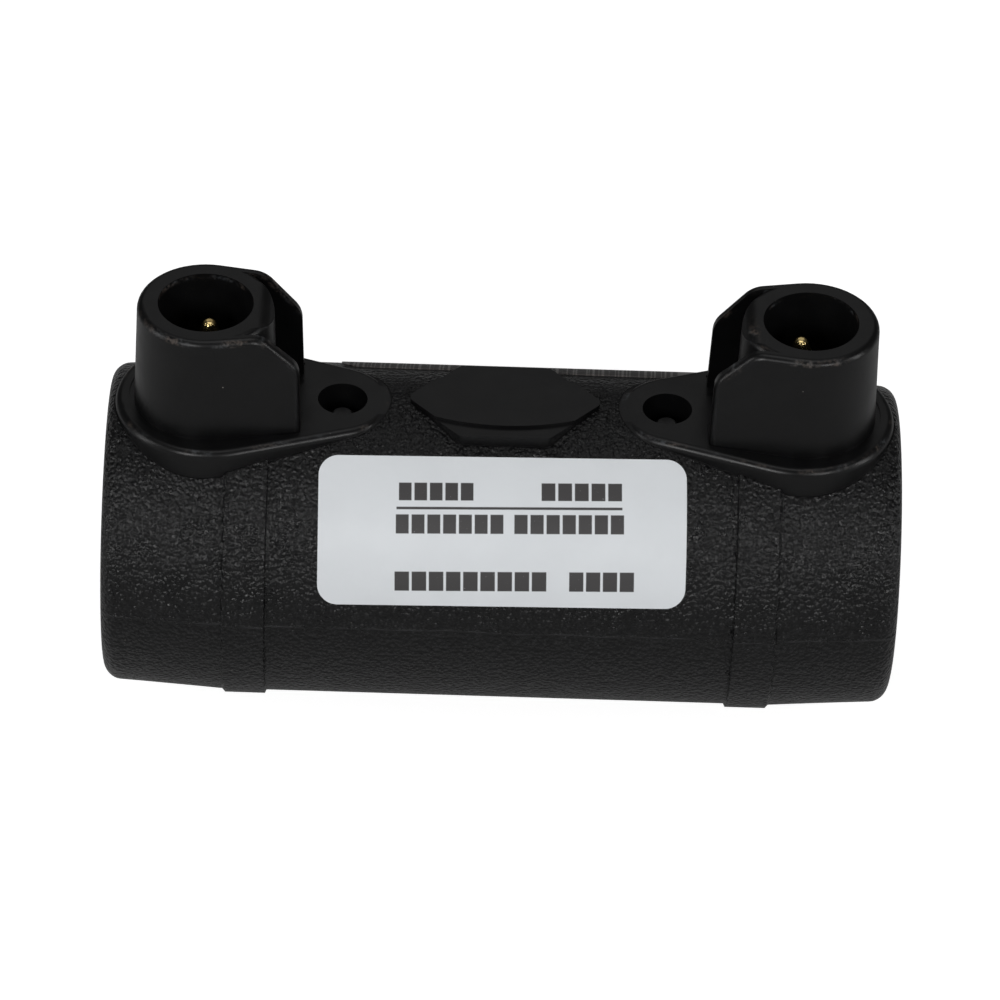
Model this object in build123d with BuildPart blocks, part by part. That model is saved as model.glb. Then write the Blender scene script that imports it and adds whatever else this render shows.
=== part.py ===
"""Electrofusion coupler for 20 mm polyethylene pipe, with two shrouded terminals.

The bore runs along X and the terminals stand up along +Z. The origin is the centre of the
bore, midway between the two socket mouths. All sizes are in millimetres.
"""
from build123d import *
import math
import os

os.makedirs("parts", exist_ok=True)

# ---- driving dimensions -------------------------------------------------------------
PIPE_DIAMETER = 20.0
SOCKET_CLEARANCE = 0.3          # on the diameter, so that the cold pipe slides in
COUPLER_LENGTH = 80.0
BODY_DIAMETER = 33.7            # between the two raised bands
BAND_RISE = 0.35                # bands stand this far proud of the body
BAND_INNER_X = 23.4
BAND_OUTER_X = 27.6
BAND_RAMP = 0.15                # run of the step at the inner edge; the outer one is twice this
END_DIAMETER = 32.2             # at the socket mouths, after the taper
END_CORNER_RADIUS = 1.8
STOP_BORE = 16.6                # ring in the middle that the pipe ends meet
STOP_WIDTH = 2.0
STOP_RAMP = 0.3
MOUTH_LEAD_IN = 1.2             # length of the lead-in at each mouth
MOUTH_LEAD_RISE = 0.35

TERMINAL_X = 30.1               # spacing of the terminals from the middle
SHROUD_BORE = 9.55
SHROUD_WALL = 2.05              # at the rim
SHROUD_TOP_Z = 28.3
SHROUD_FLOOR_Z = 15.3
DRAFT = 1.8                     # degrees, on the outside of the shrouds and wings
SLOT_DRAFT = 0.5                # degrees, inside the wings
RIM_ROUNDING = 0.75
WING_END_X = 20.4
WING_END_HALF_WIDTH = 5.25      # outside the wings at their tips, at rim level
WING_THICKNESS = 1.05           # at rim level
WING_SHOULDER_X = 24.4          # where the wing tops start to slope down
WING_LOW_Z = 24.3               # foot of the slope, at the wing tips
WING_TIP_RADIUS = 2.6
WING_SHOULDER_RADIUS = 2.5
RIM_ZONE_MARGIN = 0.4           # for telling the rounded upper edges from the rest
WING_ZONE_MARGIN = 1.25

PAD_TOP_Z = 16.7
PAD_ROUNDING = 0.8
PAD_WIDE_X = 29.6
PAD_WIDE_RADIUS = 9.6
PAD_NARROW_X = 17.1
PAD_NARROW_RADIUS = 5.6
STEP_MARGIN = 0.55              # shallow step in the pad round each shroud
STEP_TIP_MARGIN = 0.08          # the same at the wing tips, so that it stays inside the pad's rounding
STEP_DEPTH = 0.12

INDICATOR_X = 16.34
INDICATOR_WELL = 5.0
INDICATOR_WELL_FLOOR_Z = 12.6
INDICATOR_PIN_DIAMETER = 2.4
INDICATOR_TOP_Z = 14.9
INDICATOR_FOOT_Z = 11.4
INDICATOR_PIN_CHAMFER = 0.3

PLATE_TIP_X = 9.9               # marking plate in the middle, a long hexagon
PLATE_HALF_WIDTH = 5.75
PLATE_FLAT_X = 4.5
PLATE_SHOULDER_Z = 16.95
PLATE_TOP_Z = 17.25
PLATE_FIELD_HALF_WIDTH = 4.25   # raised field between two arcs
PLATE_FIELD_RADIUS = 21.3
PLATE_CORNER_RADIUS = 1.0

PIN_DIAMETER = 4.0
PIN_TIP_Z = 26.1
PIN_NOSE_LENGTH = 4.0
PIN_TIP_RADIUS = 0.55
PIN_NOSE_ROUNDING = 0.5
PIN_COLLAR_DIAMETER = 6.0
PIN_COLLAR_HEIGHT = 0.8
PIN_STEM_DIAMETER = 3.2
PIN_STEM_END_Z = 12.0
PIN_BARB_DIAMETER = 4.4
PIN_INWARD = {"left": 0.35, "right": 0.85}   # pins stand off the shroud axis, towards the middle

COIL_INNER_X = 14.0
COIL_OUTER_X = 31.5
COIL_THICKNESS = 0.65           # of the winding, drawn as a plain sleeve in each socket
COIL_LEAD_DIAMETER = 0.5

LABEL_THICKNESS = 0.12
LABEL_CORNER = 2.0
LABEL_LENGTH = 36.7
LABEL_CHORD = 14.9              # height measured straight across the curve
FRONT_LABEL_X = -0.3
FRONT_LABEL_ANGLE = 39.4        # degrees above the horizontal, seen along the bore
FRONT_LABEL_TURN = 1.5          # the labels are stuck on by hand, a little askew
REAR_LABEL_X = 1.35
REAR_LABEL_ANGLE = 140.0
REAR_LABEL_TURN = -2.0

OVERCUT = 1.0                   # cuts run this far past the faces they open
TOLERANCE = 0.01                # for picking corners by their place

# ---- sizes that follow --------------------------------------------------------------
half_length = COUPLER_LENGTH / 2
body_radius = BODY_DIAMETER / 2
band_radius = body_radius + BAND_RISE
end_radius = END_DIAMETER / 2
bore_radius = (PIPE_DIAMETER + SOCKET_CLEARANCE) / 2
stop_radius = STOP_BORE / 2
coil_radius = bore_radius + COIL_THICKNESS
foot_z = PAD_TOP_Z - STEP_DEPTH
foot_growth = (SHROUD_TOP_Z - foot_z) * math.tan(math.radians(DRAFT))
rim_radius = SHROUD_BORE / 2 + SHROUD_WALL
foot_radius = rim_radius + foot_growth
root_z = 12.0                   # pads and plate are rooted in the wall at this height
rim_zone_z = WING_LOW_Z - WING_TIP_RADIUS - RIM_ZONE_MARGIN   # the rounded edges all lie above this
wing_zone_y = WING_END_HALF_WIDTH - WING_ZONE_MARGIN          # and, on the wings, outside this
sides = {"left": -1, "right": 1}
lead_points = [(side * (TERMINAL_X - PIN_INWARD[name]), 0) for name, side in sides.items()]
plate_corners = [
    (PLATE_TIP_X, 0),
    (PLATE_FLAT_X, PLATE_HALF_WIDTH),
    (-PLATE_FLAT_X, PLATE_HALF_WIDTH),
    (-PLATE_TIP_X, 0),
    (-PLATE_FLAT_X, -PLATE_HALF_WIDTH),
    (PLATE_FLAT_X, -PLATE_HALF_WIDTH),
]

# ---- terminal shroud with its two wings, right-hand one ------------------------------
shroud_rise = SHROUD_TOP_Z - foot_z
wing_reach = TERMINAL_X - WING_END_X
wing_outer_corner = WING_END_HALF_WIDTH + foot_growth
wing_angle = math.atan2(wing_reach, wing_outer_corner) - math.acos(
    foot_radius / math.hypot(wing_reach, wing_outer_corner)
)
wing_foot_thickness = WING_THICKNESS + foot_growth + shroud_rise * math.tan(math.radians(SLOT_DRAFT))
wing_inner_corner = wing_outer_corner - wing_foot_thickness / math.cos(wing_angle)
wing_overrun = OVERCUT * math.tan(wing_angle)
tangent_x = TERMINAL_X - foot_radius * math.sin(wing_angle)   # where a wing runs into the round
tangent_y = foot_radius * math.cos(wing_angle)
wing_end_top_x = WING_END_X + (WING_LOW_Z - foot_z) * math.tan(math.radians(DRAFT))
slot_half_width = wing_inner_corner + wing_reach * math.tan(wing_angle)

with BuildPart() as shroud_core:
    with BuildSketch(Plane.XY.offset(foot_z)):
        with Locations((TERMINAL_X, 0)):
            Circle(foot_radius)
    extrude(amount=shroud_rise, taper=DRAFT)
    fillet(shroud_core.edges().sort_by(Axis.Z)[-1], RIM_ROUNDING)

with BuildPart() as wing_slot:
    # the space between the wings, open towards the middle and closed by the round shroud
    with BuildSketch(Plane.XY.offset(foot_z)):
        with BuildLine():
            Polyline(
                (WING_END_X - OVERCUT, wing_inner_corner - wing_overrun),
                (TERMINAL_X, slot_half_width),
                (TERMINAL_X, -slot_half_width),
                (WING_END_X - OVERCUT, wing_overrun - wing_inner_corner),
                close=True,
            )
        make_face()
    extrude(amount=shroud_rise, taper=-SLOT_DRAFT)
    add(shroud_core.part, mode=Mode.SUBTRACT)

with BuildPart() as shroud:
    # drafted block whose plan is the round shroud with a wing running off each side
    with BuildSketch(Plane.XY.offset(foot_z)):
        with Locations((TERMINAL_X, 0)):
            Circle(foot_radius)
        with BuildLine():
            Polyline(
                (WING_END_X - OVERCUT, wing_outer_corner - wing_overrun),
                (tangent_x, tangent_y),
                (tangent_x, -tangent_y),
                (WING_END_X - OVERCUT, wing_overrun - wing_outer_corner),
                close=True,
            )
        make_face()
    extrude(amount=shroud_rise, taper=DRAFT)
    # the wing tops are level next to the shroud, then slope down to rounded tips
    with BuildSketch(Plane.XZ) as wing_side:
        with BuildLine():
            Polyline(
                (WING_END_X, foot_z),
                (wing_end_top_x, WING_LOW_Z),
                (WING_SHOULDER_X, SHROUD_TOP_Z),
                (half_length, SHROUD_TOP_Z),
                (half_length, foot_z),
                close=True,
            )
        make_face()
        fillet(wing_side.vertices().sort_by_distance((wing_end_top_x, WING_LOW_Z))[0], WING_TIP_RADIUS)
        fillet(
            wing_side.vertices().sort_by_distance((WING_SHOULDER_X, SHROUD_TOP_Z))[0],
            WING_SHOULDER_RADIUS,
        )
    extrude(amount=half_length, both=True, mode=Mode.INTERSECT)
    # one rounding runs over the rim, along the wing tops and down the wing ends
    outline = shroud.edges().filter_by(lambda e: e.center().Z > rim_zone_z)
    outline = outline.filter_by(lambda e: abs(e.center().Y) > wing_zone_y or e.center().X > TERMINAL_X)
    outline = outline.filter_by(Axis.Y, reverse=True)
    fillet(outline, RIM_ROUNDING)
    add(wing_slot.part, mode=Mode.SUBTRACT)

# ---- pad under the shroud, right-hand one --------------------------------------------
with BuildPart() as terminal:
    with BuildSketch(Plane.XY.offset(root_z)) as pad_plan:
        with Locations((PAD_WIDE_X, 0)):
            Circle(PAD_WIDE_RADIUS)
        with Locations((PAD_NARROW_X, 0)):
            Circle(PAD_NARROW_RADIUS)
        make_hull()
    extrude(amount=PAD_TOP_Z - root_z)
    fillet(terminal.faces().sort_by(Axis.Z)[-1].edges(), PAD_ROUNDING)
    # shallow step round the foot of the shroud
    with BuildSketch(Plane.XY.offset(foot_z)):
        with Locations((TERMINAL_X, 0)):
            Circle(foot_radius + STEP_MARGIN)
        with Locations((WING_END_X, wing_outer_corner), (WING_END_X, -wing_outer_corner)):
            Circle(STEP_TIP_MARGIN)
        make_hull()
    extrude(amount=2 * STEP_DEPTH, mode=Mode.SUBTRACT)
    add(shroud.part)

# ---- terminal pins: turned brass, with a barbed stem moulded into the body -----------
def turned_pin(pin_x):
    """Round pin standing at (pin_x, 0): rounded nose, contact length, collar, barbed stem."""
    contact = PIN_DIAMETER / 2
    stem = PIN_STEM_DIAMETER / 2
    barb = PIN_BARB_DIAMETER / 2
    collar_top_z = SHROUD_FLOOR_Z + PIN_COLLAR_HEIGHT
    barb_gap = (SHROUD_FLOOR_Z - PIN_STEM_END_Z) / 3
    with BuildPart() as pin:
        with BuildSketch(Plane.XZ.shift_origin((pin_x, 0, 0))) as half_section:
            with BuildLine():
                Polyline(
                    (0, PIN_TIP_Z),
                    (PIN_TIP_RADIUS, PIN_TIP_Z),
                    (contact, PIN_TIP_Z - PIN_NOSE_LENGTH),
                    (contact, collar_top_z),
                    (PIN_COLLAR_DIAMETER / 2, collar_top_z),
                    (PIN_COLLAR_DIAMETER / 2, SHROUD_FLOOR_Z),
                    (stem, SHROUD_FLOOR_Z),
                    (stem, SHROUD_FLOOR_Z - barb_gap),
                    (barb, SHROUD_FLOOR_Z - barb_gap),
                    (stem, SHROUD_FLOOR_Z - 2 * barb_gap),
                    (barb, SHROUD_FLOOR_Z - 2 * barb_gap),
                    (stem, PIN_STEM_END_Z),
                    (0, PIN_STEM_END_Z),
                    close=True,
                )
            make_face()
            nose = half_section.vertices().sort_by_distance((PIN_TIP_RADIUS, PIN_TIP_Z))[0]
            fillet(nose, PIN_NOSE_ROUNDING)
            waist = half_section.vertices().sort_by_distance((contact, PIN_TIP_Z - PIN_NOSE_LENGTH))[0]
            fillet(waist, contact)
        revolve(axis=Axis((pin_x, 0, 0), (0, 0, 1)))
    return pin.part


pins = {}
for name, side in sides.items():
    pins[name] = turned_pin(side * (TERMINAL_X - PIN_INWARD[name]))
    pins[name].label = f"terminal_pin_{name}"
    export_step(pins[name], f"parts/terminal_pin_{name}.step")

# ---- heating coil: coated wire wound into the wall of both sockets -------------------
coil_length = COIL_OUTER_X - COIL_INNER_X
wire_line_radius = bore_radius + COIL_THICKNESS / 2

with BuildPart() as heating_coil:
    for side in sides.values():
        with BuildSketch(Plane.YZ.offset(side * (COIL_INNER_X + COIL_OUTER_X) / 2)):
            Circle(coil_radius)
            Circle(bore_radius, mode=Mode.SUBTRACT)
        extrude(amount=coil_length / 2, both=True)
    # the wire runs on from one winding to the other, and up to the foot of each pin
    with BuildSketch(Plane.YZ):
        with Locations((0, -wire_line_radius)):
            Circle(COIL_LEAD_DIAMETER / 2)
    extrude(amount=COIL_INNER_X, both=True)
    with BuildSketch(Plane.XY.offset(wire_line_radius)):
        with Locations(*lead_points):
            Circle(COIL_LEAD_DIAMETER / 2)
    extrude(amount=PIN_STEM_END_Z - wire_line_radius)
heating_coil.part.label = "heating_coil"
export_step(heating_coil.part, "parts/heating_coil.step")

# ---- indicator pins: rods that the melt pushes up in their wells ---------------------
def indicator_rod(rod_x):
    """Round rod standing in the well at (rod_x, 0), with a chamfered top."""
    with BuildPart() as rod:
        with BuildSketch(Plane.XY.offset(INDICATOR_FOOT_Z)):
            with Locations((rod_x, 0)):
                Circle(INDICATOR_PIN_DIAMETER / 2)
        extrude(amount=INDICATOR_TOP_Z - INDICATOR_FOOT_Z)
        chamfer(rod.edges().sort_by(Axis.Z)[-1], INDICATOR_PIN_CHAMFER)
    return rod.part


indicators = {}
for name, side in sides.items():
    indicators[name] = indicator_rod(side * INDICATOR_X)
    indicators[name].label = f"indicator_pin_{name}"
    export_step(indicators[name], f"parts/indicator_pin_{name}.step")

# ---- coupler body: one moulding ------------------------------------------------------
with BuildPart() as coupler_body:
    # socket tube, turned about the bore: bands, tapered ends, stop ring, pockets for the coil
    with BuildSketch(Plane.XZ) as wall_section:
        with BuildLine():
            Polyline(
                (0, body_radius),
                (BAND_INNER_X, body_radius),
                (BAND_INNER_X + BAND_RAMP, band_radius),
                (BAND_OUTER_X, band_radius),
                (BAND_OUTER_X + 2 * BAND_RAMP, body_radius),
                (half_length, end_radius),
                (half_length, bore_radius + MOUTH_LEAD_RISE),
                (half_length - MOUTH_LEAD_IN, bore_radius),
                (COIL_OUTER_X, bore_radius),
                (COIL_OUTER_X, coil_radius),
                (COIL_INNER_X, coil_radius),
                (COIL_INNER_X, bore_radius),
                (STOP_WIDTH / 2 + STOP_RAMP, bore_radius),
                (STOP_WIDTH / 2, stop_radius),
                (0, stop_radius),
            )
            mirror(about=Plane.YZ)
        make_face()
        end_corners = wall_section.vertices().filter_by(
            lambda v: abs(abs(v.X) - half_length) < TOLERANCE and v.Y > end_radius - TOLERANCE
        )
        fillet(end_corners, END_CORNER_RADIUS)
    revolve(axis=Axis.X)
    # the top is levelled where the pads run out into the round body
    with BuildSketch(Plane.XY.offset(PAD_TOP_Z)):
        add(pad_plan.sketch_local)
        mirror(about=Plane.YZ)
    extrude(amount=body_radius - PAD_TOP_Z + 2 * BAND_RISE, mode=Mode.SUBTRACT)
    add(terminal.part)
    add(terminal.part.mirror(Plane.YZ))
    # marking plate with a raised field between two arcs
    with BuildSketch(Plane.XY.offset(root_z)) as plate_plan:
        with BuildLine():
            Polyline(*plate_corners, close=True)
        make_face()
        fillet(plate_plan.vertices(), PLATE_CORNER_RADIUS)
    extrude(amount=PLATE_SHOULDER_Z - root_z)
    with BuildSketch(Plane.XY.offset(root_z)):
        add(plate_plan.sketch_local)
        field_centre = PLATE_FIELD_RADIUS - PLATE_FIELD_HALF_WIDTH
        for way in (-1, 1):
            with Locations((0, way * field_centre)):
                Circle(PLATE_FIELD_RADIUS, mode=Mode.INTERSECT)
    extrude(amount=PLATE_TOP_Z - root_z)
    # terminal bores and indicator wells
    with BuildSketch(Plane.XY.offset(SHROUD_FLOOR_Z)):
        with Locations((TERMINAL_X, 0), (-TERMINAL_X, 0)):
            Circle(SHROUD_BORE / 2)
    extrude(amount=SHROUD_TOP_Z - SHROUD_FLOOR_Z + OVERCUT, mode=Mode.SUBTRACT)
    with BuildSketch(Plane.XY.offset(INDICATOR_WELL_FLOOR_Z)):
        with Locations((INDICATOR_X, 0), (-INDICATOR_X, 0)):
            Circle(INDICATOR_WELL / 2)
    extrude(amount=PLATE_TOP_Z - INDICATOR_WELL_FLOOR_Z, mode=Mode.SUBTRACT)
    # seats of the pieces that the plastic is moulded round
    for name in sides:
        add(pins[name], mode=Mode.SUBTRACT)
        add(indicators[name], mode=Mode.SUBTRACT)
    with BuildSketch(Plane.YZ):
        with Locations((0, -wire_line_radius)):
            Circle(COIL_LEAD_DIAMETER / 2)
    extrude(amount=COIL_INNER_X, both=True, mode=Mode.SUBTRACT)
    with BuildSketch(Plane.XY.offset(wire_line_radius)):
        with Locations(*lead_points):
            Circle(COIL_LEAD_DIAMETER / 2)
    extrude(amount=PIN_STEM_END_Z - wire_line_radius, mode=Mode.SUBTRACT)
coupler_body.part.label = "coupler_body"
export_step(coupler_body.part, "parts/coupler_body.step")


# ---- labels: thin stickers on the round of the body ----------------------------------
def sticker(middle_x, middle_angle, turn):
    """Rounded rectangle wrapped on the body; middle_angle is up from the front, turn in its plane."""
    outward = Vector(0, -math.cos(math.radians(middle_angle)), math.sin(math.radians(middle_angle)))
    face_plane = Plane(Vector(middle_x, 0, 0), x_dir=(1, 0, 0), z_dir=outward)
    with BuildPart() as label:
        with BuildSketch(Plane.YZ.offset(middle_x)):
            Circle(body_radius + LABEL_THICKNESS)
            Circle(body_radius, mode=Mode.SUBTRACT)
        extrude(amount=LABEL_LENGTH, both=True)
        with BuildSketch(face_plane.rotated((0, 0, turn))):
            RectangleRounded(LABEL_LENGTH, LABEL_CHORD, LABEL_CORNER)
        extrude(amount=2 * body_radius, mode=Mode.INTERSECT)
    return label.part


stickers = {
    "front_label": sticker(FRONT_LABEL_X, FRONT_LABEL_ANGLE, FRONT_LABEL_TURN),
    "rear_label": sticker(REAR_LABEL_X, REAR_LABEL_ANGLE, REAR_LABEL_TURN),
}
for name, piece in stickers.items():
    piece.label = name
    export_step(piece, f"parts/{name}.step")
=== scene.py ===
"""Dresses the electrofusion coupler: moulded plastic, brass pins, wire winding, labels and studio."""
import math

import bpy
from bpy.props import FloatProperty, FloatVectorProperty, IntProperty, PointerProperty
from bpy.types import Operator, Panel, PropertyGroup
from mathutils import Matrix, Vector


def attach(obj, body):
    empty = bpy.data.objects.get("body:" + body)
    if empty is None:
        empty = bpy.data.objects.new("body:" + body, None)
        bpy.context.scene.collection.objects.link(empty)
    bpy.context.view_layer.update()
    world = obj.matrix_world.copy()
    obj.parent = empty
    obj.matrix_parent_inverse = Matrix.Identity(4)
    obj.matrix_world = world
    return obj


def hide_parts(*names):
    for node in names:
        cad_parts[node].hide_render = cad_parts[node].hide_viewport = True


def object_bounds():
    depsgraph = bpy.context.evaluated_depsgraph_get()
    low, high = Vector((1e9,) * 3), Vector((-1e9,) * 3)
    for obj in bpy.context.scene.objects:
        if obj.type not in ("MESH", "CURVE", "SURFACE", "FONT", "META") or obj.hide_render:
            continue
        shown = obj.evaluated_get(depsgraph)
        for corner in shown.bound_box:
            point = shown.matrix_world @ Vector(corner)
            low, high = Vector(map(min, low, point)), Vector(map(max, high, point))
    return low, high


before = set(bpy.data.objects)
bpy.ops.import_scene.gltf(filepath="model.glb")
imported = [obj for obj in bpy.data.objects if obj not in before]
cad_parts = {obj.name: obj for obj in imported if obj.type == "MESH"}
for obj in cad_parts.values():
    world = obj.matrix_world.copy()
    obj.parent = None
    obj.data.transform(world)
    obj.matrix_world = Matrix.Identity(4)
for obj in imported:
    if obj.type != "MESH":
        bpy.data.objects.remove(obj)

bl_info = {
    "name": "Electrofusion coupler finish",
    "version": (1, 0, 0),
    "blender": (4, 5, 0),
    "location": "3D View > Sidebar > Coupler",
    "description": "Finishes a moulded pipe coupler with its pins, winding, labels and studio",
    "category": "Object",
}

CAD_LOW, CAD_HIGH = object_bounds()
MM = 0.001

# ---- places on the coupler, in millimetres, in the frame of the solids ---------------------
BODY_RADIUS = 16.85
BORE_RADIUS = 10.15
PAD_TOP_Z = 16.7
PAD_WIDE_X = 29.6
PAD_WIDE_RADIUS = 9.6
PAD_NARROW_X = 17.1
PAD_NARROW_RADIUS = 5.6
PLATE_TIP_X = 9.9
PLATE_FLAT_X = 4.5
PLATE_HALF_WIDTH = 5.75
PAD_EDGE_INSET = 0.35           # middle of the pads' rounded edge, inside their outline
PAD_EDGE_DEPTHS = (0.9, 0.3)    # below the pads' tops, between which the scuffs and painted highlight of their edge grow
SHROUD_TOP_Z = 28.3
RIM_ROUNDING = 0.75             # of the rims and the wing tops
# the sloping wing tops lie closer to the middle than this x, above this z and outside this y
WING_SHOULDER_X = 25.0
WING_TIP_Z = 20.0
WING_INNER_Y = 3.9
WING_SLOPE = 3.9                # height of the sloping wing tops less their place along the bore
PARTING_Z = 0.7                 # the mould halves meet a little above the middle of the tube
PARTING_WANDER = 0.9
GRAIN_STARTS = (13.6, 15.2)     # distances from the bore's axis between which the grain fades in
UPPER_Z = BORE_RADIUS + 1.2     # pads and plate are all above this
LABEL_PLACES = {
    # node: (middle along the bore, angle up from the front, turn of the sticker), in mm and degrees
    "front_label": (-0.3, 39.4, 1.5),
    "rear_label": (1.35, 140.0, -2.0),
}
# rows of the front label, in millimetres from its middle: start, end, low, high, block width, gap
FRONT_PRINT = (
    (-10.1, -2.4, 3.1, 4.9, 1.54, 0.28),
    (4.1, 12.4, 3.1, 4.9, 1.66, 0.28),
    (-10.4, 0.6, -0.2, 1.7, 1.57, 0.28),
    (1.4, 12.6, -0.2, 1.7, 1.60, 0.28),
    (-10.5, 4.9, -6.0, -4.0, 1.71, 0.26),
    (6.9, 13.6, -6.0, -4.0, 1.68, 0.26),
)
# start, end, low, high of the rule on the front label and of the bars on the rear one
FRONT_RULE = (-10.2, 12.3, 2.2, 2.46)
REAR_BARS = (-17.0, 16.6, -9.0, 5.4)
REAR_SHADE_SPAN = (-2.4, -4.4)       # painted shade deepens between these heights on the rear label, where it turns away from the lamps

# ---- wire winding, in millimetres ----------------------------------------------------------
WINDING_INNER_X = 14.0
WINDING_OUTER_X = 31.5
WINDING_RADIUS = 10.475         # of the wire's centre line
WIRE_RADIUS = 0.325
WIRE_SIDES = 8
STEPS_PER_TURN = 56
LEAD_RADIUS = 0.25
LEAD_SIDES = 10
LEAD_TOP_Z = 12.0
LEAD_X = (-29.75, 29.25)        # under the stems of the two pins

# ---- finishes: colours as numbers from 0 to 1, depths in metres ----------------------------
PLASTIC_GLOSS = 0.25            # waxy polyethylene mirrors less than most plastics
PLASTIC_ROUGHNESS = (0.30, 0.38)
GRAIN_GLOSS = -0.05             # the grained skin is a little less rough
# colours of the edge marks: partly rubbed scuffs, partly a painted highlight where light catches the
# roundings
SCUFF_AND_HIGHLIGHT_BROWN = (0.085, 0.068, 0.058)
SCUFF_AND_HIGHLIGHT_GREY = (0.070, 0.076, 0.082)
DUST_COLOR = (0.30, 0.29, 0.27)
# lighter than the plastic: a painted highlight along the parting ridge
SEAM_HIGHLIGHT_COLOR = (0.020, 0.020, 0.021)
SEAM_HEIGHT = 0.00022
SKIN_DEPTH = 0.000004
TARNISH_COLOR = (0.42, 0.27, 0.09)
TURNING_PITCH = 0.16            # of the rings left on the brass, in millimetres
COATING_COLORS = ((0.026, 0.022, 0.020), (0.050, 0.042, 0.036))
# dark colour painted on the rear label as shade
REAR_SHADE_COLOR = (0.060, 0.049, 0.042)

# ---- studio, in metres, degrees and watts --------------------------------------------------
FLOOR_REACH = 2.5
FLOOR_GAP = 0.00005             # between the floor and the lowest point of the coupler
FLOOR_COLORS = ((0.54, 0.54, 0.54), (0.57, 0.57, 0.57))
FLOOR_LIFT = 0.80               # added to the floor that the camera sees, so that it comes out white
LAMP_AIM = (0, 0, 0.01)
CAMERA_TARGET = (-0.000131, 0.0, 0.004224)
CAMERA_DISTANCE = 0.58
CAMERA_AZIMUTH = -0.792
CAMERA_ELEVATION = 39.055
CAMERA_ROLL = 2.271
CAMERA_SENSOR = 36.0
CAMERA_LENS = 204.705
# name, place, size, strength
LAMPS = (
    ("top box", (0.0, 0.05, 0.70), (0.50, 0.35), 0.85),
    ("left front box", (-0.26, -0.54, 0.34), (0.14, 0.16), 1.70),
    ("right front box", (0.30, -0.52, 0.32), (0.12, 0.16), 1.18),
    ("rear box", (0.0, 0.62, 0.50), (0.60, 0.30), 0.24),
    ("left strip", (-0.55, -0.12, 0.20), (0.08, 0.40), 0.9),
    ("right strip", (0.55, -0.12, 0.20), (0.08, 0.40), 0.9),
)
WORLD_STRENGTH = 0.05


# ============================================================================================
# Settings
# ============================================================================================
class CouplerSettings(PropertyGroup):
    """Sizes and colours that a user would change."""

    plastic_color: FloatVectorProperty(
        name="Plastic", description="Colour of the moulded polyethylene",
        subtype="COLOR", size=3, min=0.0, max=1.0, default=(0.0030, 0.0030, 0.0032),
    )
    brass_color: FloatVectorProperty(
        name="Brass", description="Colour of the terminal pins",
        subtype="COLOR", size=3, min=0.0, max=1.0, default=(0.78, 0.60, 0.27),
    )
    label_color: FloatVectorProperty(
        name="Label", description="Colour of the sticker stock",
        subtype="COLOR", size=3, min=0.0, max=1.0, default=(0.665, 0.690, 0.713),
    )
    ink_color: FloatVectorProperty(
        name="Ink", description="Colour of the print on the labels",
        subtype="COLOR", size=3, min=0.0, max=1.0, default=(0.018, 0.015, 0.015),
    )
    grain_size: FloatProperty(
        name="Grain size", description="Size of the spark grain on the tube",
        unit="LENGTH", default=0.00040, min=0.0001, max=0.002, precision=5,
    )
    grain_depth: FloatProperty(
        name="Grain depth", description="Depth of the spark grain on the tube",
        unit="LENGTH", default=0.00032, min=0.0, max=0.0008, precision=5,
    )
    dust: FloatProperty(
        name="Dust", description="How much fine dust lies on the plastic",
        subtype="FACTOR", default=0.5, min=0.0, max=1.0,
    )
    winding_turns: IntProperty(
        name="Turns", description="Turns of wire in each socket", default=26, min=4, max=40,
    )


# ============================================================================================
# Shader building blocks
# ============================================================================================
def add_node(tree, kind, **settings):
    """A new node of that kind, with its plain settings."""
    node = tree.nodes.new(kind)
    for name, value in settings.items():
        setattr(node, name, value)
    return node


def feed(tree, socket, value):
    """Connects a socket to another, or sets it to a number, vector or colour."""
    if isinstance(value, bpy.types.NodeSocket):
        tree.links.new(value, socket)
    else:
        socket.default_value = value


def calc(tree, operation, first, second=0.0):
    """The result of one math step."""
    node = add_node(tree, "ShaderNodeMath", operation=operation)
    feed(tree, node.inputs[0], first)
    feed(tree, node.inputs[1], second)
    return node.outputs[0]


def product(tree, first, *others):
    """All the values multiplied together."""
    for other in others:
        first = calc(tree, "MULTIPLY", first, other)
    return first


def ramp(tree, value, start, end, low=0.0, high=1.0):
    """Goes smoothly from low to high as value goes from start to end."""
    node = add_node(tree, "ShaderNodeMapRange", interpolation_type="SMOOTHSTEP")
    feed(tree, node.inputs["Value"], value)
    feed(tree, node.inputs["From Min"], start)
    feed(tree, node.inputs["From Max"], end)
    feed(tree, node.inputs["To Min"], low)
    feed(tree, node.inputs["To Max"], high)
    return node.outputs["Result"]


def blend_color(tree, share, first, second):
    """Colour going from first to second with share."""
    node = add_node(tree, "ShaderNodeMix", data_type="RGBA")
    feed(tree, node.inputs[0], share)
    for socket, value in ((node.inputs[6], first), (node.inputs[7], second)):
        feed(tree, socket, value if isinstance(value, bpy.types.NodeSocket) else (*value, 1.0))
    return node.outputs[2]


def noise(tree, vector, scale, detail=2.0, roughness=0.5):
    """Soft noise from 0 to 1."""
    node = add_node(tree, "ShaderNodeTexNoise")
    feed(tree, node.inputs["Vector"], vector)
    feed(tree, node.inputs["Scale"], scale)
    feed(tree, node.inputs["Detail"], detail)
    feed(tree, node.inputs["Roughness"], roughness)
    return node.outputs["Fac"]


def new_group(name, inputs, outputs):
    """A shader node group with named sockets; returns the tree, its input node and output node."""
    tree = bpy.data.node_groups.new(name, "ShaderNodeTree")
    for socket, kind, default in inputs:
        made = tree.interface.new_socket(name=socket, in_out="INPUT", socket_type=kind)
        if default is not None:
            made.default_value = default
    for socket, kind in outputs:
        tree.interface.new_socket(name=socket, in_out="OUTPUT", socket_type=kind)
    return tree, tree.nodes.new("NodeGroupInput"), tree.nodes.new("NodeGroupOutput")


def place_group(tree, name, **values):
    """Puts a finished group into a material, with its own values."""
    node = add_node(tree, "ShaderNodeGroup", node_tree=bpy.data.node_groups[name])
    for socket, value in values.items():
        feed(tree, node.inputs[socket.replace("_", " ")], value)
    return node


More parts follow.
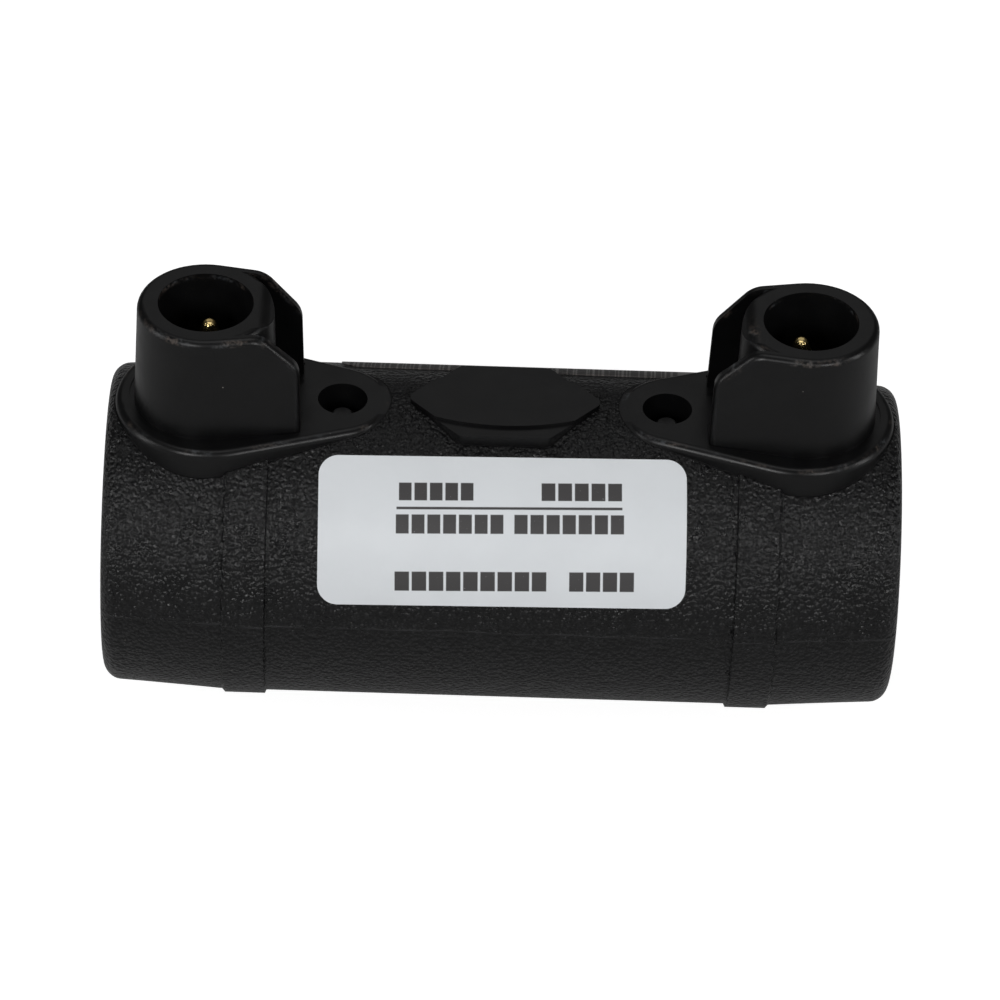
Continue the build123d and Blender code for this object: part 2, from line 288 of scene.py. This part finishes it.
def millimetres_group():
    """Place on the object in millimetres, and the distance from the bore's axis."""
    tree, _, out = new_group(
        "Place in millimetres", [],
        [("Place", "NodeSocketVector"), ("X", "NodeSocketFloat"), ("Y", "NodeSocketFloat"),
         ("Z", "NodeSocketFloat"), ("Radius", "NodeSocketFloat")],
    )
    here = add_node(tree, "ShaderNodeTexCoord")
    scaled = add_node(tree, "ShaderNodeVectorMath", operation="SCALE")
    feed(tree, scaled.inputs[0], here.outputs["Object"])
    scaled.inputs["Scale"].default_value = 1 / MM
    split = add_node(tree, "ShaderNodeSeparateXYZ")
    feed(tree, split.inputs[0], scaled.outputs[0])
    squares = calc(
        tree, "ADD",
        calc(tree, "POWER", split.outputs[1], 2.0),
        calc(tree, "POWER", split.outputs[2], 2.0),
    )
    feed(tree, out.inputs["Place"], scaled.outputs[0])
    for index, axis in enumerate("XYZ"):
        feed(tree, out.inputs[axis], split.outputs[index])
    feed(tree, out.inputs["Radius"], calc(tree, "SQRT", squares))


def zones_group():
    """Masks of the coupler's surfaces: the grained tube, the scuffed edges that also carry a painted
    highlight, and the parting line.
    """
    tree, _, out = new_group(
        "Coupler zones", [],
        [("Grained", "NodeSocketFloat"), ("Edge", "NodeSocketFloat"), ("Parting", "NodeSocketFloat")],
    )
    here = place_group(tree, "Place in millimetres")
    across = calc(tree, "ABSOLUTE", here.outputs["Y"])
    along = calc(tree, "ABSOLUTE", here.outputs["X"])
    up = here.outputs["Z"]

    # distance in plan from the pad: two circles and the straight sides that join them
    span = PAD_WIDE_X - PAD_NARROW_X
    lean = (PAD_WIDE_RADIUS - PAD_NARROW_RADIUS) / span
    straight = math.sqrt(1 - lean * lean)
    inward = calc(tree, "SUBTRACT", PAD_WIDE_X, along)
    side = calc(
        tree, "SUBTRACT",
        calc(tree, "ADD", product(tree, across, straight), product(tree, inward, lean)),
        PAD_WIDE_RADIUS,
    )

    def round_end(middle_x, radius):
        """Distance in plan from one of the pad's circles."""
        offset = calc(tree, "POWER", calc(tree, "SUBTRACT", along, middle_x), 2.0)
        reach = calc(tree, "SQRT", calc(tree, "ADD", offset, calc(tree, "POWER", across, 2.0)))
        return calc(tree, "SUBTRACT", reach, radius)

    station = calc(tree, "SUBTRACT", product(tree, inward, straight), product(tree, across, lean))
    before = calc(tree, "LESS_THAN", station, 0.0)
    beyond = calc(tree, "GREATER_THAN", station, span * straight)
    wide = round_end(PAD_WIDE_X, PAD_WIDE_RADIUS)
    narrow = round_end(PAD_NARROW_X, PAD_NARROW_RADIUS)
    between = calc(tree, "SUBTRACT", 1.0, calc(tree, "ADD", before, beyond))
    ends = calc(tree, "ADD", product(tree, wide, before), product(tree, narrow, beyond))
    pad = calc(tree, "ADD", ends, product(tree, side, between))

    # distance in plan from the long hexagon of the marking plate
    slope = Vector((PLATE_HALF_WIDTH, PLATE_TIP_X - PLATE_FLAT_X)).normalized()
    slanted = calc(
        tree, "SUBTRACT",
        calc(tree, "ADD", product(tree, along, slope.x), product(tree, across, slope.y)),
        slope.x * PLATE_TIP_X,
    )
    plate = calc(tree, "MAXIMUM", slanted, calc(tree, "SUBTRACT", across, PLATE_HALF_WIDTH))

    # pads and plate are smooth, and so is what lies inside the tube
    upper = calc(tree, "GREATER_THAN", up, UPPER_Z)
    smooth = product(tree, ramp(tree, calc(tree, "MINIMUM", pad, plate), 0.10, 0.04), upper)
    outer = ramp(tree, here.outputs["Radius"], *GRAIN_STARTS)
    feed(tree, out.inputs["Grained"], product(tree, outer, calc(tree, "SUBTRACT", 1.0, smooth)))

    # scuffed roundings that also carry a painted highlight: the rims, the sloping wing tops and the edges of
    # the pads
    rim = product(
        tree,
        ramp(tree, up, SHROUD_TOP_Z - RIM_ROUNDING, SHROUD_TOP_Z - 0.6 * RIM_ROUNDING),
        ramp(tree, up, SHROUD_TOP_Z, SHROUD_TOP_Z - 0.16 * RIM_ROUNDING),
    )
    rise = calc(tree, "ADD", calc(tree, "SUBTRACT", along, up), WING_SLOPE)
    depth = calc(tree, "DIVIDE", rise, math.sqrt(2))    # under the slope, at about 45 degrees
    wing_top = product(
        tree,
        calc(tree, "LESS_THAN", along, WING_SHOULDER_X),
        calc(tree, "GREATER_THAN", up, WING_TIP_Z),
        calc(tree, "GREATER_THAN", across, WING_INNER_Y),
        ramp(tree, depth, RIM_ROUNDING, 0.4 * RIM_ROUNDING),
    )
    from_edge = calc(tree, "ABSOLUTE", calc(tree, "ADD", pad, PAD_EDGE_INSET))
    low, high = (PAD_TOP_Z - depth_below for depth_below in PAD_EDGE_DEPTHS)
    pad_edge = product(
        tree,
        ramp(tree, from_edge, PAD_EDGE_INSET, 0.05),
        ramp(tree, up, low, high),
        calc(tree, "LESS_THAN", up, PAD_TOP_Z + 0.1),
    )
    worn_and_highlit = calc(tree, "MAXIMUM", calc(tree, "MAXIMUM", rim, wing_top), pad_edge)
    feed(tree, out.inputs["Edge"], worn_and_highlit)

    # the line where the mould halves met wanders up and down a little
    level = calc(tree, "SUBTRACT", noise(tree, here.outputs["Place"], 0.12), 0.5)
    level = calc(tree, "ADD", up, product(tree, level, PARTING_WANDER))
    height = calc(tree, "ABSOLUTE", calc(tree, "SUBTRACT", level, PARTING_Z))
    feed(tree, out.inputs["Parting"], product(tree, ramp(tree, height, 0.20, 0.05), outer))


def grain_group():
    """Spark grain: the fine pebbled skin that an eroded mould leaves."""
    tree, given, out = new_group(
        "Spark grain",
        [("Place", "NodeSocketVector", None), ("Size", "NodeSocketFloat", 0.42)],
        [("Height", "NodeSocketFloat"), ("Peak", "NodeSocketFloat")],
    )
    fineness = calc(tree, "DIVIDE", 1.0, given.outputs["Size"])
    pebbles = add_node(tree, "ShaderNodeTexVoronoi", feature="SMOOTH_F1")
    feed(tree, pebbles.inputs["Vector"], given.outputs["Place"])
    feed(tree, pebbles.inputs["Scale"], fineness)
    pebbles.inputs["Smoothness"].default_value = 0.6
    broad = noise(tree, given.outputs["Place"], product(tree, fineness, 0.55), 3.0, 0.6)
    rounded = calc(tree, "SUBTRACT", 1.0, pebbles.outputs["Distance"])
    height = calc(tree, "ADD", product(tree, rounded, 0.6), product(tree, broad, 0.7))
    feed(tree, out.inputs["Height"], height)
    # tops of the pebbles, where the painted glints go
    feed(tree, out.inputs["Peak"], ramp(tree, height, 0.66, 0.95))


def dust_group():
    """Fine specks of dust."""
    tree, given, out = new_group(
        "Dust",
        [("Place", "NodeSocketVector", None), ("Amount", "NodeSocketFloat", 0.5)],
        [("Mask", "NodeSocketFloat")],
    )
    specks = add_node(tree, "ShaderNodeTexVoronoi")
    feed(tree, specks.inputs["Vector"], given.outputs["Place"])
    specks.inputs["Scale"].default_value = 0.75
    split = add_node(tree, "ShaderNodeSeparateColor")
    feed(tree, split.inputs[0], specks.outputs["Color"])
    speck_radius = calc(tree, "ADD", product(tree, split.outputs[1], 0.05), 0.03)
    spot = ramp(tree, specks.outputs["Distance"], speck_radius, 0.01)
    share = product(tree, given.outputs["Amount"], 0.12)
    few = calc(tree, "GREATER_THAN", split.outputs[0], calc(tree, "SUBTRACT", 1.0, share))
    feed(tree, out.inputs["Mask"], product(tree, spot, few))


def wear_and_highlight_group():
    """Scuffs and painted highlight: short strokes where edges have rubbed, which also stand in for light
    caught on the roundings.
    """
    tree, given, out = new_group(
        "Edge wear",
        [("Place", "NodeSocketVector", None), ("Edge", "NodeSocketFloat", 0.0)],
        [("Mask", "NodeSocketFloat")],
    )
    patches = ramp(tree, noise(tree, given.outputs["Place"], 0.30, 2.0, 0.5), 0.44, 0.66)
    strokes = ramp(tree, noise(tree, given.outputs["Place"], 2.2, 3.0, 0.6), 0.40, 0.72)
    feed(tree, out.inputs["Mask"], product(tree, patches, strokes, given.outputs["Edge"]))


def sticker_group():
    """Place on a sticker in millimetres: along it, and up it over the curve of the tube."""
    tree, given, out = new_group(
        "Sticker place",
        [(name, "NodeSocketFloat", 0.0) for name in ("Middle", "Angle", "Turn")],
        [("Along", "NodeSocketFloat"), ("Up", "NodeSocketFloat")],
    )
    here = place_group(tree, "Place in millimetres")
    angle = calc(tree, "ARCTAN2", here.outputs["Z"], product(tree, here.outputs["Y"], -1.0))
    arc = product(tree, calc(tree, "SUBTRACT", angle, given.outputs["Angle"]), BODY_RADIUS)
    along = calc(tree, "SUBTRACT", here.outputs["X"], given.outputs["Middle"])
    cosine = calc(tree, "COSINE", given.outputs["Turn"])
    sine = calc(tree, "SINE", given.outputs["Turn"])
    turned_along = calc(tree, "ADD", product(tree, along, cosine), product(tree, arc, sine))
    turned_up = calc(tree, "SUBTRACT", product(tree, arc, cosine), product(tree, along, sine))
    feed(tree, out.inputs["Along"], turned_along)
    feed(tree, out.inputs["Up"], turned_up)


def build_groups():
    """Every shared effect, each built once."""
    for build in (millimetres_group, zones_group, grain_group, dust_group, wear_and_highlight_group, sticker_group):
        build()


def start_material(name):
    """A material with only its shader; returns the material, its tree and the shader."""
    material = bpy.data.materials.new(name)
    material.use_nodes = True
    tree = material.node_tree
    tree.nodes.clear()
    shader = tree.nodes.new("ShaderNodeBsdfPrincipled")
    surface = tree.nodes.new("ShaderNodeOutputMaterial")
    feed(tree, surface.inputs["Surface"], shader.outputs[0])
    return material, tree, shader


def bump(tree, height, distance, base=None):
    """Normal of a bumped surface; distance in metres, on top of another bump if there is one."""
    node = add_node(tree, "ShaderNodeBump")
    node.inputs["Strength"].default_value = 1.0
    node.inputs["Distance"].default_value = distance
    feed(tree, node.inputs["Height"], height)
    if base is not None:
        feed(tree, node.inputs["Normal"], base)
    return node.outputs[0]


def moulded_plastic(settings):
    """Black polyethylene: grained on the tube, satin on the terminals, pads and plate."""
    material, tree, shader = start_material("moulded polyethylene")
    here = place_group(tree, "Place in millimetres")
    zones = place_group(tree, "Coupler zones")
    place = here.outputs["Place"]
    grain = place_group(tree, "Spark grain", Place=place, Size=settings.grain_size / MM)
    dust = place_group(tree, "Dust", Place=place, Amount=settings.dust)
    wear_and_highlight = place_group(tree, "Edge wear", Place=place, Edge=zones.outputs["Edge"])

    dark = tuple(settings.plastic_color)
    mottle = noise(tree, place, 0.35, 3.0)
    grained = zones.outputs["Grained"]
    # painted glints: the tops of the grain are coloured lighter than the plastic
    light = tuple(c * 3.2 for c in dark)
    worn_and_highlit = wear_and_highlight.outputs["Mask"]
    color = blend_color(tree, ramp(tree, mottle, 0.3, 0.7), dark, tuple(c * 1.25 for c in dark))
    color = blend_color(tree, product(tree, grain.outputs["Peak"], grained), color, light)
    scuff_and_highlight = blend_color(tree, ramp(tree, mottle, 0.45, 0.6), SCUFF_AND_HIGHLIGHT_BROWN, SCUFF_AND_HIGHLIGHT_GREY)
    # painted highlight mixed with scuffs along the rims, wing tops and pad edges
    color = blend_color(tree, product(tree, worn_and_highlit, 0.75), color, scuff_and_highlight)
    color = blend_color(tree, product(tree, dust.outputs["Mask"], 0.7), color, DUST_COLOR)
    # painted highlight along the parting ridge, stronger in places
    seam_highlight = product(tree, zones.outputs["Parting"], ramp(tree, mottle, 0.40, 0.60, 0.15, 0.85))
    color = blend_color(tree, seam_highlight, color, SEAM_HIGHLIGHT_COLOR)
    feed(tree, shader.inputs["Base Color"], color)

    satin = ramp(tree, mottle, 0.2, 0.8, *PLASTIC_ROUGHNESS)
    rough = calc(tree, "ADD", satin, product(tree, grained, GRAIN_GLOSS))
    feed(tree, shader.inputs["Roughness"], calc(tree, "ADD", rough, product(tree, worn_and_highlit, 0.2)))

    normal = bump(tree, noise(tree, place, 9.0, 2.0), SKIN_DEPTH)
    grain_height = product(tree, grain.outputs["Height"], grained)
    normal = bump(tree, grain_height, settings.grain_depth, normal)
    normal = bump(tree, zones.outputs["Parting"], SEAM_HEIGHT, normal)
    feed(tree, shader.inputs["Normal"], normal)
    shader.inputs["Specular IOR Level"].default_value = PLASTIC_GLOSS
    return material


def indicator_plastic(settings):
    """The same plastic as the body, as drawn rod: satin, with a cut face on top."""
    material, tree, shader = start_material("indicator polyethylene")
    place = place_group(tree, "Place in millimetres").outputs["Place"]
    dust = place_group(tree, "Dust", Place=place, Amount=settings.dust)
    dark = tuple(c * 1.6 for c in settings.plastic_color)
    color = blend_color(tree, noise(tree, place, 1.6, 3.0), dark, tuple(c * 1.4 for c in dark))
    color = blend_color(tree, dust.outputs["Mask"], color, DUST_COLOR)
    feed(tree, shader.inputs["Base Color"], color)
    feed(tree, shader.inputs["Roughness"], ramp(tree, noise(tree, place, 2.5), 0.3, 0.7, 0.35, 0.5))
    feed(tree, shader.inputs["Normal"], bump(tree, noise(tree, place, 6.0, 3.0), 0.00001))
    return material


def turned_brass(settings):
    """Brass, with the fine rings that turning leaves and a little tarnish in them."""
    material, tree, shader = start_material("terminal brass")
    here = place_group(tree, "Place in millimetres")
    rings = calc(tree, "SINE", product(tree, here.outputs["Z"], 2 * math.pi / TURNING_PITCH))
    tarnish = ramp(tree, noise(tree, here.outputs["Place"], 1.1, 3.0), 0.45, 0.75)
    bright = tuple(settings.brass_color)
    color = blend_color(tree, product(tree, tarnish, 0.6), bright, TARNISH_COLOR)
    feed(tree, shader.inputs["Base Color"], color)
    shader.inputs["Metallic"].default_value = 1.0
    feed(tree, shader.inputs["Roughness"], calc(tree, "ADD", 0.22, product(tree, tarnish, 0.15)))
    feed(tree, shader.inputs["Normal"], bump(tree, rings, SKIN_DEPTH))
    return material


def wire_coating():
    """Thin glossy coating on the heating wire, a little uneven along its length."""
    material, tree, shader = start_material("wire coating")
    place = place_group(tree, "Place in millimetres").outputs["Place"]
    uneven = noise(tree, place, 1.3, 3.0)
    color = blend_color(tree, ramp(tree, uneven, 0.3, 0.7), *COATING_COLORS)
    feed(tree, shader.inputs["Base Color"], color)
    feed(tree, shader.inputs["Roughness"], ramp(tree, uneven, 0.3, 0.7, 0.24, 0.36))
    feed(tree, shader.inputs["Normal"], bump(tree, noise(tree, place, 5.0), 0.000008))
    return material


def within(tree, value, start, end, soft=0.05):
    """1 where value lies between start and end, with soft ends."""
    opening = ramp(tree, value, start - soft, start + soft)
    return product(tree, opening, ramp(tree, value, end + soft, end - soft))


def field(tree, along, up, start, end, low, high):
    """1 inside an upright rectangle on a sticker."""
    return product(tree, within(tree, along, start, end), within(tree, up, low, high))


def print_row(tree, along, up, start, end, low, high, cell, gap):
    """A row of plain solid blocks in place of a line of print."""
    step = calc(tree, "FRACT", calc(tree, "DIVIDE", calc(tree, "SUBTRACT", along, start), cell))
    block = within(tree, product(tree, step, cell), gap / 2, cell - gap / 2, 0.04)
    return product(tree, field(tree, along, up, start, end, low, high), block)


def sticker_stock(name, settings, node):
    """Coated white paper; the front one has blocks and a rule, the rear one bars and painted shade."""
    material, tree, shader = start_material(name)
    middle, angle, turn = LABEL_PLACES[node]
    place = place_group(tree, "Place in millimetres").outputs["Place"]
    on_label = place_group(
        tree, "Sticker place", Middle=middle, Angle=math.radians(angle), Turn=math.radians(turn),
    )
    along, up = on_label.outputs["Along"], on_label.outputs["Up"]
    if node == "front_label":
        ink = field(tree, along, up, *FRONT_RULE)
        for row in FRONT_PRINT:
            ink = calc(tree, "MAXIMUM", ink, print_row(tree, along, up, *row))
    else:
        # bars of uneven width, with nothing coded in them
        bars = add_node(tree, "ShaderNodeTexNoise", noise_dimensions="1D")
        feed(tree, bars.inputs["W"], calc(tree, "ADD", along, 40.0))
        bars.inputs["Scale"].default_value = 3.0
        bars.inputs["Detail"].default_value = 1.0
        inside = field(tree, along, up, *REAR_BARS)
        ink = product(tree, ramp(tree, bars.outputs["Fac"], 0.40, 0.47), inside)
    stock = tuple(settings.label_color)
    cloudy = ramp(tree, noise(tree, place, 0.18, 3.0), 0.35, 0.65)
    paper = blend_color(tree, product(tree, cloudy, 0.5), stock, tuple(c * 0.94 for c in stock))
    if node == "rear_label":
        # painted shade along the upper edge, next to the marking plate, where the label turns away from the
        # light
        painted_shade = product(tree, ramp(tree, up, *REAR_SHADE_SPAN), 0.95)
        paper = blend_color(tree, painted_shade, paper, REAR_SHADE_COLOR)
    soft_edges = ramp(tree, noise(tree, place, 5.0, 2.0), 0.05, 0.30)
    inked = product(tree, ink, soft_edges, 0.97)
    feed(tree, shader.inputs["Base Color"], blend_color(tree, inked, paper, tuple(settings.ink_color)))
    feed(tree, shader.inputs["Roughness"], ramp(tree, inked, 0.0, 1.0, 0.42, 0.55))
    feed(tree, shader.inputs["Normal"], bump(tree, noise(tree, place, 0.5, 3.0), 0.00004))
    return material


# ============================================================================================
# Pieces
# ============================================================================================
def cad_node(name):
    """A CAD node by name; a missing one stops the script."""
    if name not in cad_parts:
        raise RuntimeError(f"the frame has no node {name}")
    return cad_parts[name]


def dress(name, material):
    """Gives a CAD node its finish."""
    for slot in cad_node(name).material_slots:
        slot.material = material


def tube_along(tree, curve, radius, sides):
    """Geometry of a round wire along a curve."""
    profile = add_node(tree, "GeometryNodeCurvePrimitiveCircle")
    profile.inputs["Resolution"].default_value = sides
    feed(tree, profile.inputs["Radius"], radius)
    solid = add_node(tree, "GeometryNodeCurveToMesh")
    feed(tree, solid.inputs["Curve"], curve)
    feed(tree, solid.inputs["Profile Curve"], profile.outputs["Curve"])
    solid.inputs["Fill Caps"].default_value = True
    return solid.outputs["Mesh"]


def winding_tree():
    """Geometry nodes of the winding: a helix in each socket, the link between them, and two leads."""
    tree = bpy.data.node_groups.new("Wire winding", "GeometryNodeTree")
    for name, kind, default in (
        ("Turns", "NodeSocketFloat", 26.0),
        ("Radius", "NodeSocketFloat", WINDING_RADIUS * MM),
        ("Wire radius", "NodeSocketFloat", WIRE_RADIUS * MM),
        ("Inner end", "NodeSocketFloat", WINDING_INNER_X * MM),
        ("Outer end", "NodeSocketFloat", WINDING_OUTER_X * MM),
        ("Lead radius", "NodeSocketFloat", LEAD_RADIUS * MM),
    ):
        tree.interface.new_socket(name=name, in_out="INPUT", socket_type=kind).default_value = default
    tree.interface.new_socket(name="Coating", in_out="INPUT", socket_type="NodeSocketMaterial")
    tree.interface.new_socket(name="Geometry", in_out="OUTPUT", socket_type="NodeSocketGeometry")
    given = tree.nodes.new("NodeGroupInput")
    out = tree.nodes.new("NodeGroupOutput")
    joined = add_node(tree, "GeometryNodeJoinGeometry")

    wire = given.outputs["Wire radius"]
    first = calc(tree, "ADD", given.outputs["Inner end"], wire)
    length = calc(tree, "SUBTRACT", calc(tree, "SUBTRACT", given.outputs["Outer end"], wire), first)
    for side in (-1, 1):
        helix = add_node(tree, "GeometryNodeCurveSpiral")
        helix.inputs["Resolution"].default_value = STEPS_PER_TURN
        feed(tree, helix.inputs["Rotations"], given.outputs["Turns"])
        feed(tree, helix.inputs["Start Radius"], given.outputs["Radius"])
        feed(tree, helix.inputs["End Radius"], given.outputs["Radius"])
        feed(tree, helix.inputs["Height"], length)
        laid = add_node(tree, "GeometryNodeTransform")
        feed(tree, laid.inputs["Geometry"], helix.outputs["Curve"])
        laid.inputs["Rotation"].default_value = (0.0, side * math.pi / 2, 0.0)
        shift = add_node(tree, "ShaderNodeCombineXYZ")
        feed(tree, shift.inputs["X"], product(tree, first, float(side)))
        feed(tree, laid.inputs["Translation"], shift.outputs[0])
        coil = tube_along(tree, laid.outputs["Geometry"], wire, WIRE_SIDES)
        feed(tree, joined.inputs["Geometry"], coil)

    def straight(start, end):
        """A straight run of the thinner lead."""
        line = add_node(tree, "GeometryNodeCurvePrimitiveLine")
        line.inputs["Start"].default_value = tuple(v * MM for v in start)
        line.inputs["End"].default_value = tuple(v * MM for v in end)
        run = tube_along(tree, line.outputs["Curve"], given.outputs["Lead radius"], LEAD_SIDES)
        feed(tree, joined.inputs["Geometry"], run)

    link_end = WINDING_INNER_X + WIRE_RADIUS
    straight((-link_end, 0, -WINDING_RADIUS), (link_end, 0, -WINDING_RADIUS))
    for lead_x in LEAD_X:
        straight((lead_x, 0, WINDING_RADIUS), (lead_x, 0, LEAD_TOP_Z))

    real = add_node(tree, "GeometryNodeRealizeInstances")
    feed(tree, real.inputs[0], joined.outputs["Geometry"])
    finish = add_node(tree, "GeometryNodeSetMaterial")
    feed(tree, finish.inputs["Geometry"], real.outputs[0])
    feed(tree, finish.inputs["Material"], given.outputs["Coating"])
    smooth = add_node(tree, "GeometryNodeSetShadeSmooth")
    feed(tree, smooth.inputs["Geometry"], finish.outputs["Geometry"])
    feed(tree, out.inputs["Geometry"], smooth.outputs["Geometry"])
    return tree


def plain_mesh_from(tree, name, values):
    """Runs a geometry tree once and keeps its result as a plain mesh object."""
    seed = bpy.data.objects.new(name, bpy.data.meshes.new(name))
    bpy.context.scene.collection.objects.link(seed)
    modifier = seed.modifiers.new("Make", "NODES")
    modifier.node_group = tree
    for item in tree.interface.items_tree:
        if item.item_type == "SOCKET" and item.in_out == "INPUT" and item.name in values:
            modifier[item.identifier] = values[item.name]
    evaluated = seed.evaluated_get(bpy.context.evaluated_depsgraph_get())
    mesh = bpy.data.meshes.new_from_object(evaluated)
    seed.modifiers.clear()
    seed.data = mesh
    if not mesh.polygons:
        raise RuntimeError(f"{name} came out empty")
    return seed


class COUPLER_OT_body(Operator):
    """Finish the moulded body"""
    bl_idname = "coupler.body"
    bl_label = "Moulded body"

    def execute(self, context):
        dress("coupler_body", moulded_plastic(context.scene.coupler))
        return {"FINISHED"}


class COUPLER_OT_winding(Operator):
    """Wind the heating wire in both sockets"""
    bl_idname = "coupler.winding"
    bl_label = "Heating winding"

    def execute(self, context):
        coating = wire_coating()
        values = {"Turns": float(context.scene.coupler.winding_turns), "Coating": coating}
        winding = plain_mesh_from(winding_tree(), "wire_winding", values)
        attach(winding, "root")
        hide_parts("heating_coil")
        return {"FINISHED"}


class COUPLER_OT_pins(Operator):
    """Finish the terminal pins and the indicator pins"""
    bl_idname = "coupler.pins"
    bl_label = "Pins"

    def execute(self, context):
        brass = turned_brass(context.scene.coupler)
        plastic = indicator_plastic(context.scene.coupler)
        for side in ("left", "right"):
            dress(f"terminal_pin_{side}", brass)
            dress(f"indicator_pin_{side}", plastic)
        return {"FINISHED"}


class COUPLER_OT_labels(Operator):
    """Finish the front and rear labels"""
    bl_idname = "coupler.labels"
    bl_label = "Labels"

    def execute(self, context):
        for name in LABEL_PLACES:
            dress(name, sticker_stock(name.replace("_", " "), context.scene.coupler, name))
        return {"FINISHED"}


# ============================================================================================
# Studio
# ============================================================================================
def soft_box(name, place, aim, size, strength):
    """A rectangular lamp with its face turned to aim; strength in watts, size in metres."""
    lamp = bpy.data.lights.new(name, "AREA")
    lamp.shape = "RECTANGLE"
    lamp.size, lamp.size_y = size
    lamp.energy = strength
    box = bpy.data.objects.new(name, lamp)
    box.location = place
    box.rotation_mode = "QUATERNION"
    box.rotation_quaternion = (Vector(aim) - Vector(place)).to_track_quat("-Z", "Y")
    bpy.context.scene.collection.objects.link(box)


def studio_floor():
    """A wide pale floor just under the coupler."""
    level = CAD_LOW.z - FLOOR_GAP
    turns = ((-1, -1), (1, -1), (1, 1), (-1, 1))
    corners = [(x * FLOOR_REACH, y * FLOOR_REACH, level) for x, y in turns]
    mesh = bpy.data.meshes.new("floor")
    mesh.from_pydata(corners, [], [(0, 1, 2, 3)])
    floor = bpy.data.objects.new("floor", mesh)
    bpy.context.scene.collection.objects.link(floor)
    material, tree, shader = start_material("pale floor")
    place = place_group(tree, "Place in millimetres").outputs["Place"]
    color = blend_color(tree, noise(tree, place, 0.01), *FLOOR_COLORS)
    feed(tree, shader.inputs["Base Color"], color)
    shader.inputs["Roughness"].default_value = 0.8
    # what the camera sees of the floor is lifted to white, with no more light on the coupler
    seen = tree.nodes.new("ShaderNodeLightPath")
    shader.inputs["Emission Color"].default_value = (1.0, 1.0, 1.0, 1.0)
    lift = product(tree, seen.outputs["Is Camera Ray"], FLOOR_LIFT)
    feed(tree, shader.inputs["Emission Strength"], lift)
    mesh.materials.append(material)


def camera():
    """The camera in front of and above the coupler, rolled a little."""
    azimuth, elevation, roll = (math.radians(a) for a in (CAMERA_AZIMUTH, CAMERA_ELEVATION, CAMERA_ROLL))
    back = Vector((
        math.sin(azimuth) * math.cos(elevation),
        -math.cos(azimuth) * math.cos(elevation),
        math.sin(elevation),
    ))
    level = (-back).cross(Vector((0, 0, 1))).normalized()
    upright = level.cross(-back).normalized()
    right = math.cos(roll) * level + math.sin(roll) * upright
    up = -math.sin(roll) * level + math.cos(roll) * upright
    data = bpy.data.cameras.new("camera")
    data.sensor_width = CAMERA_SENSOR
    data.lens = CAMERA_LENS
    data.clip_start = 0.01
    data.clip_end = 20.0
    eye = bpy.data.objects.new("camera", data)
    eye.matrix_world = Matrix.Translation(Vector(CAMERA_TARGET) + back * CAMERA_DISTANCE) @ Matrix(
        (right, up, back)
    ).transposed().to_4x4()
    bpy.context.scene.collection.objects.link(eye)
    bpy.context.scene.camera = eye


class COUPLER_OT_stage(Operator):
    """Set up the floor, the lamps, the world and the camera"""
    bl_idname = "coupler.stage"
    bl_label = "Studio"

    def execute(self, context):
        studio_floor()
        for name, place, size, strength in LAMPS:
            soft_box(name, place, LAMP_AIM, size, strength)
        world = bpy.data.worlds.new("studio")
        world.use_nodes = True
        world.node_tree.nodes["Background"].inputs["Color"].default_value = (1.0, 1.0, 1.0, 1.0)
        world.node_tree.nodes["Background"].inputs["Strength"].default_value = WORLD_STRENGTH
        context.scene.world = world
        context.scene.view_settings.view_transform = "Standard"
        camera()
        return {"FINISHED"}


# ============================================================================================
# Panel and registration
# ============================================================================================
PIECE_OPERATORS = (COUPLER_OT_body, COUPLER_OT_winding, COUPLER_OT_pins, COUPLER_OT_labels, COUPLER_OT_stage)


class COUPLER_PT_panel(Panel):
    """Lists the coupler's pieces and its settings"""
    bl_idname = "COUPLER_PT_panel"
    bl_label = "Coupler"
    bl_space_type = "VIEW_3D"
    bl_region_type = "UI"
    bl_category = "Coupler"

    def draw(self, context):
        column = self.layout.column()
        for name in CouplerSettings.__annotations__:
            column.prop(context.scene.coupler, name)
        for operator in PIECE_OPERATORS:
            column.operator(operator.bl_idname)


CLASSES = (CouplerSettings, *PIECE_OPERATORS, COUPLER_PT_panel)


def register():
    """Adds the classes and the settings to Blender."""
    for cls in CLASSES:
        bpy.utils.register_class(cls)
    bpy.types.Scene.coupler = PointerProperty(type=CouplerSettings)


def unregister():
    """Takes the settings and the classes away again."""
    del bpy.types.Scene.coupler
    for cls in reversed(CLASSES):
        bpy.utils.unregister_class(cls)


def main():
    """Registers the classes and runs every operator."""
    register()
    build_groups()
    bpy.ops.coupler.body()
    bpy.ops.coupler.winding()
    bpy.ops.coupler.pins()
    bpy.ops.coupler.labels()
    bpy.ops.coupler.stage()


if __name__ == "__main__":
    main()
